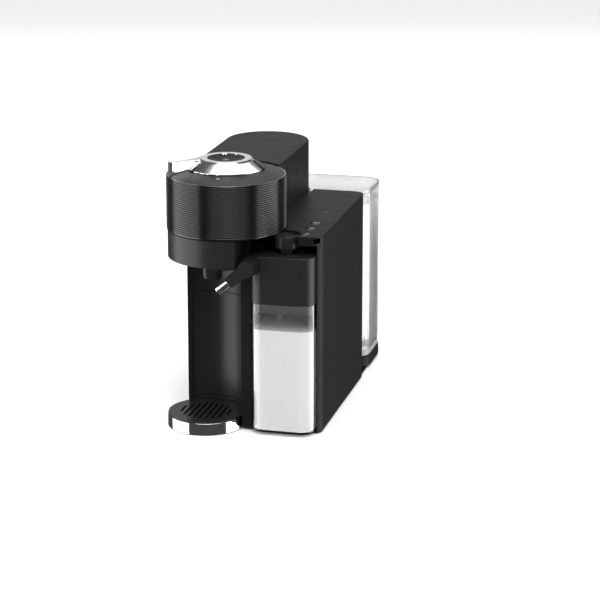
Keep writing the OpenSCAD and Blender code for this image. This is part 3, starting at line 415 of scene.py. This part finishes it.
    # Glass-epoxy board: green solder resist over a woven glass cloth of 0.8 mm pitch.
    tree, bsdf, place = start("epoxy_board", IOR=1.5)
    weave = add(tree, "ShaderNodeTexChecker", {"Vector": place, "Scale": 1000 / 0.8}).outputs["Fac"]
    drive(tree, bsdf, (weave, "#12432A", "#185234"), (weave, 0.25, 0.35))

    # Pad-printed white ink: flat, slightly uneven in its cover.
    tree, bsdf, place = start("white_ink", IOR=1.45)
    cover = add(tree, "ShaderNodeTexNoise", {"Vector": place, "Scale": 1000 / 0.6, "Detail": 2.0})
    drive(tree, bsdf, (cover.outputs["Fac"], "#A8A8A8", "#C9C9C9"), (cover.outputs["Fac"], 0.4, 0.6))

    # Matt white board of the studio floor, with a faint unevenness.
    tree, bsdf, place = start("pale_floor", Roughness=0.9, Specular_IOR_Level=0.1)
    board = add(tree, "ShaderNodeTexNoise", {"Vector": place, "Scale": 40.0, "Detail": 3.0}).outputs["Fac"]
    drive(tree, bsdf, (board, "#F2F2F2", "#F6F6F6"))


PLAIN_NODES = {
    "textured_abs": ["base_plate", "drive_cover", "lid_floor", "cord_gland"],
    "filled_nylon": ["capsule_holder", "lid_frame", "clamp_disc", "tank_valve"],
    "rolled_steel": ["base_screws", "spindle_bearing", "drive_motor", "hinge_bracket", "hinge_pin",
                     "lid_spring", "button_spring", "piercing_needle", "pump", "steam_nozzle", "inner_frame"],
    "cast_aluminium": ["thermoblock", "locking_ring"],
    "moulded_rubber": ["rubber_feet", "drive_belt", "head_gasket"],
    "acetal": ["spindle_pulley", "motor_pulley", "milk_tube"],
    "silky_abs": ["indicator_lamps"],
    "epoxy_board": ["control_board"],
}


# ---- operators ----

class MachineStep:
    bl_options = {"REGISTER", "UNDO"}

    @property
    def shape(self):
        return bpy.context.scene.machine_shape


class MACHINE_OT_finishes(MachineStep, bpy.types.Operator):
    """Makes the finishes and gives them to the CAD pieces that keep their own shape"""
    bl_idname = "machine.finishes"
    bl_label = "Finishes"

    def execute(self, context):
        make_finishes(context.scene.machine_colours)
        for material, nodes in PLAIN_NODES.items():
            for node in nodes:
                NODES[node].data.materials.clear()
                NODES[node].data.materials.append(MATERIALS[material])
        return {"FINISHED"}


class MACHINE_OT_ribbed_band(MachineStep, bpy.types.Operator):
    """Models the ribbed band of the brewing head"""
    bl_idname = "machine.ribbed_band"
    bl_label = "Ribbed band"

    def execute(self, context):
        r = (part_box("lid_band")[1][0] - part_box("lid_band")[0][0]) / 2 / MM
        low, high = PARTING_Z / MM, RIM_Z / MM
        depth, count = self.shape.rib_depth / MM, self.shape.ribs
        pitch = (high - low - 3) / count
        profile = [(r - 2.4, low), (r - 0.9, low), (r - 0.5, low + 0.35), (r - 0.15, low + 0.9)]
        for i in range(count):
            z = low + 1.5 + i * pitch
            profile += [(r, z + 0.1 * pitch), (r, z + 0.42 * pitch), (r - 0.3 * depth, z + 0.54 * pitch),
                        (r - depth, z + 0.68 * pitch), (r - 0.9 * depth, z + 0.8 * pitch)]
        profile += [(r, high - 1.2), (r - 0.12, high - 0.6), (r - 0.5, high - 0.12), (r - 0.9, high),
                    (r - 2.4, high)]
        piece = finish_mesh(lathe("ribbed_band", HEAD, profile, 160), 45)
        dress(piece, "gloss_abs", "lid", "glossy_black", "lid_band")
        return {"FINISHED"}


class MACHINE_OT_cap_and_lever(MachineStep, bpy.types.Operator):
    """Models the cone-shaped cap and the lever with its ring, facet, arm and tab"""
    bl_idname = "machine.cap_and_lever"
    bl_label = "Cap and lever"

    def execute(self, context):
        cap = soften("lid_cap", "cone_cap", [(0.5 * MM, 3, everywhere)])
        dress(cap, "satin_lacquer", "lid", "metallic_grey", "lid_cap")
        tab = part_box("lever")[0][0] + 5 * MM
        lever = soften("lever", "lever_ring", [
            (1.5 * MM, 5, lambda p: p.x < tab and p.z < RIM_Z + 17 * MM), (0.45 * MM, 3, everywhere)], 30)
        dress(lever, "brushed_chrome", "lever", "chrome", "lever")
        # painted shade: the skirt behind the right-hand slot gets the cap's grey lacquer in place of chrome,
        # because there the chrome lies in shade and reflects dark surroundings
        lever.data.materials.append(MATERIALS["satin_lacquer"])
        ring_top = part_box("lever")[1][2] - 2.5 * MM
        for face in lever.data.polygons:
            out = face.center.xy - HEAD.xy
            turn = math.degrees(math.atan2(out.y, out.x))
            if face.center.z < ring_top and SHADE_SKIRT_IN < out.length < SHADE_SKIRT_OUT and (turn > -2 or turn < -176):
                face.material_index = 1
        # mark that shows where the lever unlocks
        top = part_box("lid_cap")[1][2]
        place, foot = Vector((HEAD.x + 4.6 * MM, HEAD.y - 51 * MM, 0)), top / MM - 2.0
        ring = lathe("lock_mark", place, [(1.5, foot), (1.9, foot), (1.9, foot + 0.75), (1.5, foot + 0.85)], 32)
        dress(finish_mesh(ring), "white_ink", "lid", "white_plastic")
        return {"FINISHED"}


class MACHINE_OT_brew_button(MachineStep, bpy.types.Operator):
    """Models the dished brew button inside the lever ring"""
    bl_idname = "machine.brew_button"
    bl_label = "Brew button"

    def execute(self, context):
        low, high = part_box("brew_button")
        r, top = (high[0] - low[0]) / 2 / MM, high[2] / MM
        profile = [(0.02, top - 1.9), (4, top - 1.85), (9, top - 1.7), (14, top - 1.35), (r - 3, top - 0.75),
                   (r - 1.6, top - 0.2), (r - 0.9, top), (r - 0.35, top - 0.15), (r, top - 0.6), (r, top - 6),
                   (r - 0.5, top - 6.4), (6, top - 6.4), (6, low[2] / MM), (0.02, low[2] / MM)]
        button = finish_mesh(lathe("dished_button", HEAD, profile, 96), 40)
        dress(button, "dark_lacquer", "brew_button", "glossy_black", "brew_button")
        for i, (r0, r1) in enumerate([(2.6, 3.1), (0.02, 0.9)]):
            foot, face = top - 1.86, top - 1.78
            mark = lathe(f"button_mark_{i + 1}", HEAD, [(r0, foot), (r1, foot), (r1, face), (r0, face)], 40)
            dress(finish_mesh(mark), "white_ink", "brew_button", "white_plastic")
        return {"FINISHED"}


class MACHINE_OT_casings(MachineStep, bpy.types.Operator):
    """Rounds the edges of the body, rear cover, milk module and control panel"""
    bl_idname = "machine.casings"
    bl_label = "Casings"

    def execute(self, context):
        big, small = self.shape.casing_round, self.shape.small_round
        cover_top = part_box("rear_cover")[1][2]
        head_clearance = 75 * MM           # nearer than this the cover's edge is cut close round the lid
        cover = soften("rear_cover", "rear_cover_skin", [
            (big, 5, lambda p: p.z > cover_top - NEAR and (p.xy - HEAD.xy).length > head_clearance),
            (0.8 * MM, 3, lambda p: p.z > cover_top - NEAR), (small, 2, everywhere)])
        dress(cover, "dark_lacquer", "base", "metallic_grey", "rear_cover")
        # outer edges of the panel; those against the head and the rear cover stay crisp
        right, front, rear = 92.5 * MM, HEAD.y - 27 * MM, 80 * MM
        panel = soften("control_panel", "control_panel_skin", [
            (big, 5, lambda p: p.z > PANEL_Z - NEAR and (p.x > right or p.y < front or p.y > rear)),
            (0.35 * MM, 2, lambda p: p.z > PANEL_Z - NEAR)])
        dress(panel, "dark_lacquer", "base", "metallic_grey", "control_panel")
        for node, name, width in [
                ("module_top", "module_head", 0.5), ("module_housing", "module_casing", 0.6),
                ("body_shell", "body_casing", 0.6), ("lower_head", "lower_head_casing", 0.6),
                ("tank_dock", "tank_dock_casing", 0.6)]:
            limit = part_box(node)[1][2] - NEAR
            flush = node == "module_top"
            piece = soften(node, name, [(width * MM, 3, lambda p: not (flush and p.z > limit))])
            silky = node in ("lower_head", "body_shell")
            dress(piece, "silky_abs" if silky else "textured_abs", "base",
                  "glossy_black" if node != "tank_dock" else "matte_black", node)
        return {"FINISHED"}


class MACHINE_OT_recipe_buttons(MachineStep, bpy.types.Operator):
    """Models the three glossy recipe buttons on the control panel"""
    bl_idname = "machine.recipe_buttons"
    bl_label = "Recipe buttons"

    def execute(self, context):
        for place in ("front", "middle", "rear"):
            node = f"recipe_button_{place}"
            low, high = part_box(node)
            r, top, foot = (high[0] - low[0]) / 2 / MM, high[2] / MM, low[2] / MM
            profile = [(0.02, top), (r * 0.4, top - 0.04), (r * 0.7, top - 0.16), (r * 0.88, top - 0.36),
                       (r * 0.97, top - 0.62), (r, top - 1), (r, top - 2), (2, top - 2), (2, foot),
                       (0.02, foot)]
            piece = finish_mesh(lathe(f"recipe_key_{place}", middle(node), profile, 64), 40)
            dress(piece, "gloss_abs", node, "glossy_black", node)
        return {"FINISHED"}


class MACHINE_OT_milk_jug(MachineStep, bpy.types.Operator):
    """Models the clear jug and the milk in it"""
    bl_idname = "machine.milk_jug"
    bl_label = "Milk jug"

    def execute(self, context):
        jug = rounded_block("clear_jug", JUG_LOW, JUG_HIGH, JUG_CORNER, 16)
        edit(jug, "FACE")
        pick_faces(jug, lambda f: f.normal.z > 0.9)
        bpy.ops.mesh.inset(thickness=JUG_WALL)
        floor = JUG_LOW.z + JUG_FLOOR
        bpy.ops.mesh.extrude_region_move(TRANSFORM_OT_translate={"value": (0, 0, floor - JUG_HIGH.z)})
        bpy.ops.object.mode_set(mode="OBJECT")
        round_rim(jug, lambda p: p.z < JUG_LOW.z + NEAR, 3.4 * MM, 6)
        round_rim(jug, lambda p: abs(p.z - floor) < NEAR, 2.0 * MM, 4)
        round_rim(jug, lambda p: p.z > JUG_HIGH.z - NEAR, 0.5 * MM, 2)
        dress(finish_mesh(jug), "clear_san", "jug", "clear_plastic", "milk_jug")
        gap = JUG_WALL + FILL_GAP
        low = JUG_LOW + Vector((gap, gap, JUG_FLOOR + FILL_GAP))
        high = Vector((JUG_HIGH.x - gap, JUG_HIGH.y - gap, self.shape.milk_level))
        milk = rounded_block("milk", low, high, JUG_CORNER - gap, 16)
        round_rim(milk, lambda p: p.z < low.z + NEAR, 2.0 * MM, 4)
        edit(milk, "FACE")
        pick_faces(milk, lambda f: f.normal.z > 0.9)
        bpy.ops.mesh.inset(thickness=1.2 * MM)
        bpy.ops.mesh.inset(thickness=1.6 * MM)
        bpy.ops.transform.translate(value=(0, 0, -0.6 * MM))
        bpy.ops.object.mode_set(mode="OBJECT")
        dress(finish_mesh(milk, 60), "milk", "jug", "white_plastic")
        return {"FINISHED"}


class MACHINE_OT_jug_lid(MachineStep, bpy.types.Operator):
    """Models the jug lid, its catches, the froth knob and small white spots on the lid's top"""
    bl_idname = "machine.jug_lid"
    bl_label = "Jug lid"

    def execute(self, context):
        small = self.shape.small_round
        top = LID_HIGH.z
        lid = soften("jug_lid", "jug_lid_skin", [
            (1.4 * MM, 4, lambda p: p.z > top - NEAR and (p.xy - KNOB.xy).length > 15 * MM),
            (small, 2, everywhere)])
        dress(lid, "silky_abs", "jug", "matte_black", "jug_lid")
        for side in ("right", "left"):
            node = f"lid_catch_{side}"
            catch = soften(node, f"catch_{side}", [(small, 3, everywhere)])
            dress(catch, "silky_abs", node, "matte_black", node)
        knob_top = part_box("froth_knob")[1][2]
        knob = soften("froth_knob", "froth_dial", [
            (0.9 * MM, 4, lambda p: p.z > knob_top - NEAR and (p.xy - KNOB.xy).length > 12.5 * MM),
            (0.3 * MM, 2, everywhere)])
        dress(knob, "silky_abs", "froth_knob", "glossy_black", "froth_knob")
        # small white spots on the lid's top
        for i, (x, y, r) in enumerate([(-32.9, 17.4, 1.4), (-26, 15, 0.9), (13.5, 15.5, 1.2)]):
            mark = lathe(f"froth_mark_{i + 1}", Vector((KNOB.x + x * MM, KNOB.y + y * MM, 0)), [
                (0.02, top / MM - 0.1), (r, top / MM - 0.1), (r, top / MM + 0.05), (0.02, top / MM + 0.06)], 24)
            dress(finish_mesh(mark), "white_ink", "jug", "white_plastic")
        return {"FINISHED"}


class MACHINE_OT_milk_spout(MachineStep, bpy.types.Operator):
    """Models the swinging milk spout and its bright tip"""
    bl_idname = "machine.milk_spout"
    bl_label = "Milk spout"

    def execute(self, context):
        arm = soften("milk_spout", "spout_arm", [(0.9 * MM, 3, everywhere)], 40)
        dress(arm, "silky_abs", "spout", "matte_black", "milk_spout")
        tip = soften("spout_tip", "spout_sleeve", [(0.4 * MM, 3, everywhere)], 40)
        dress(tip, "polished_chrome", "spout", "chrome", "spout_tip")
        return {"FINISHED"}


class MACHINE_OT_cup_support(MachineStep, bpy.types.Operator):
    """Models the drip tray with its bright band and grid, the outlet and the capsule container"""
    bl_idname = "machine.cup_support"
    bl_label = "Cup support"

    def execute(self, context):
        small = self.shape.small_round
        for node, name, material, body, slot in [
                ("tray_band", "bright_band", "polished_chrome", "tray", "chrome"),
                ("cup_grid", "cup_grid_skin", "silky_abs", "tray", "matte_black"),
                ("drip_tray", "drip_tray_skin", "textured_abs", "tray", "matte_black"),
                ("coffee_outlet", "outlet_nozzle", "silky_abs", "base", "matte_black"),
                ("capsule_container", "container_skin", "silky_abs", "capsule_container", "glossy_black")]:
            dress(soften(node, name, [(small, 3, everywhere)]), material, body, slot, node)
        return {"FINISHED"}


class MACHINE_OT_water_tank(MachineStep, bpy.types.Operator):
    """Models the clear tank, its lid and the water"""
    bl_idname = "machine.water_tank"
    bl_label = "Water tank"

    def execute(self, context):
        tank = soften("water_tank", "clear_tank", [(0.7 * MM, 3, everywhere)])
        edit(tank)
        bpy.ops.mesh.select_all(action="SELECT")
        bpy.ops.mesh.bisect(plane_co=(0, 0, FOOT_TOP + NEAR), plane_no=(0, 0, 1))
        bpy.ops.object.mode_set(mode="OBJECT")
        dress(tank, "frosted_san", "tank", "clear_plastic", "water_tank")
        # grey band that is moulded round the foot
        tank.data.materials.append(MATERIALS["foot_grey"])
        for face in tank.data.polygons:
            if face.center.z < FOOT_TOP:
                face.material_index = 1
        lid = soften("tank_lid", "clear_tank_lid", [(1.1 * MM, 4, everywhere)])
        dress(lid, "frosted_san", "tank_lid", "clear_plastic", "tank_lid")
        gap = TANK_WALL + FILL_GAP
        low = Vector((TANK_LOW.x + gap, TANK_LOW.y + gap, DOCK_TOP + TANK_FLOOR + FILL_GAP))
        high = Vector((TANK_HIGH.x - gap, TANK_HIGH.y - gap, self.shape.water_level))
        water = rounded_block("water", low, high, TANK_CORNER - gap, 12)
        # hollow for the round back of the body
        column, behind = 59.0 * MM, 186.9 * MM
        deselect()
        bpy.ops.mesh.primitive_cylinder_add(
            vertices=128, radius=column, depth=0.5, location=(HEAD.x, HEAD.y + behind, 0.15))
        cutter = bpy.context.object
        focus(water)
        cut = water.modifiers.new("Column", "BOOLEAN")
        cut.object, cut.operation = cutter, "DIFFERENCE"
        bpy.ops.object.modifier_apply(modifier=cut.name)
        bpy.data.objects.remove(cutter)
        round_rim(water, lambda p: p.z > high.z - NEAR, 0.8 * MM, 3)
        dress(finish_mesh(water), "water", "tank", "clear_plastic")
        return {"FINISHED"}


# (name, place, aim, width, height, watts)
SOFTBOXES = [
    ("left_softbox", (-1.5, -0.62, 0.1), (0, -0.1, 0.1), 2.0, 2.2, 42),
    ("right_softbox", (1.62, 0.25, 0.1), (0.05, -0.1, 0.1), 1.7, 2.2, 34),
    ("front_softbox", (0.9, -2.6, 1.5), (0, 0, 0.2), 1.2, 1.0, 12),
    ("over_softbox", (0.0, 0.75, 2.1), (0, -0.05, 0.25), 1.7, 2.0, 22),
    ("back_softbox", (-0.65, 2.5, 0.95), (0, 0, 0.2), 2.8, 0.9, 6),
]
SUN_STRENGTH, SUN_TURN = 3.0, (28, 12, 0)
SKY_STRENGTH = 0.08
CAMERA_PLACE, CAMERA_TURN, CAMERA_LENS = (0.68202, -2.61272, 0.88893), (74.04, 0, 13.95), 138.1


class MACHINE_OT_stage(MachineStep, bpy.types.Operator):
    """Makes the pale floor, the studio light and the camera"""
    bl_idname = "machine.stage"
    bl_label = "Stage"

    def execute(self, context):
        deselect()
        bpy.ops.mesh.primitive_plane_add(size=40, location=(0, 8, 0))
        floor = context.object
        floor.name = "floor"
        floor.data.materials.append(MATERIALS["pale_floor"])
        floor.visible_glossy = False
        floor.visible_shadow = False
        world = bpy.data.worlds.new("studio")
        world.use_nodes = True
        world.node_tree.nodes["Background"].inputs["Color"].default_value = linear("#FFFFFF")
        world.node_tree.nodes["Background"].inputs["Strength"].default_value = SKY_STRENGTH
        context.scene.world = world
        for name, place, aim, width, height, watts in SOFTBOXES:
            data = bpy.data.lights.new(name, "AREA")
            data.shape, data.size, data.size_y, data.energy = "RECTANGLE", width, height, watts
            light = bpy.data.objects.new(name, data)
            context.scene.collection.objects.link(light)
            light.location = place
            light.rotation_euler = (Vector(aim) - Vector(place)).to_track_quat("-Z", "Y").to_euler()
            light.visible_camera = False
        data = bpy.data.lights.new("top_light", "SUN")
        data.energy, data.angle = SUN_STRENGTH, math.radians(60)
        light = bpy.data.objects.new("top_light", data)
        context.scene.collection.objects.link(light)
        light.rotation_euler = [math.radians(turn) for turn in SUN_TURN]
        camera = bpy.data.objects.new("camera", bpy.data.cameras.new("camera"))
        context.scene.collection.objects.link(camera)
        camera.location = CAMERA_PLACE
        camera.rotation_euler = [math.radians(turn) for turn in CAMERA_TURN]
        camera.data.lens, camera.data.sensor_width = CAMERA_LENS, 36
        context.scene.camera = camera
        context.scene.view_settings.view_transform = "Standard"
        return {"FINISHED"}


STEPS = [
    MACHINE_OT_finishes, MACHINE_OT_ribbed_band, MACHINE_OT_cap_and_lever, MACHINE_OT_brew_button,
    MACHINE_OT_casings, MACHINE_OT_recipe_buttons, MACHINE_OT_milk_jug, MACHINE_OT_jug_lid,
    MACHINE_OT_milk_spout, MACHINE_OT_cup_support, MACHINE_OT_water_tank, MACHINE_OT_stage,
]


class MACHINE_PT_panel(bpy.types.Panel):
    """Sizes, colours and steps of the coffee machine"""
    bl_idname = "MACHINE_PT_panel"
    bl_label = "Coffee machine"
    bl_space_type = "VIEW_3D"
    bl_region_type = "UI"
    bl_category = "Machine"

    def draw(self, context):
        for group in (context.scene.machine_shape, context.scene.machine_colours):
            box = self.layout.box()
            for name in group.__annotations__:
                box.prop(group, name)
        for step in STEPS:
            self.layout.operator(step.bl_idname)


CLASSES = [MACHINE_PG_shape, MACHINE_PG_colours, *STEPS, MACHINE_PT_panel]


def register():
    for cls in CLASSES:
        bpy.utils.register_class(cls)
    bpy.types.Scene.machine_shape = bpy.props.PointerProperty(type=MACHINE_PG_shape)
    bpy.types.Scene.machine_colours = bpy.props.PointerProperty(type=MACHINE_PG_colours)


def unregister():
    del bpy.types.Scene.machine_shape
    del bpy.types.Scene.machine_colours
    for cls in reversed(CLASSES):
        bpy.utils.unregister_class(cls)


def main():
    register()
    for step in STEPS:
        group, name = step.bl_idname.split(".")
        getattr(getattr(bpy.ops, group), name)()
    deselect()


if __name__ == "__main__":
    main()
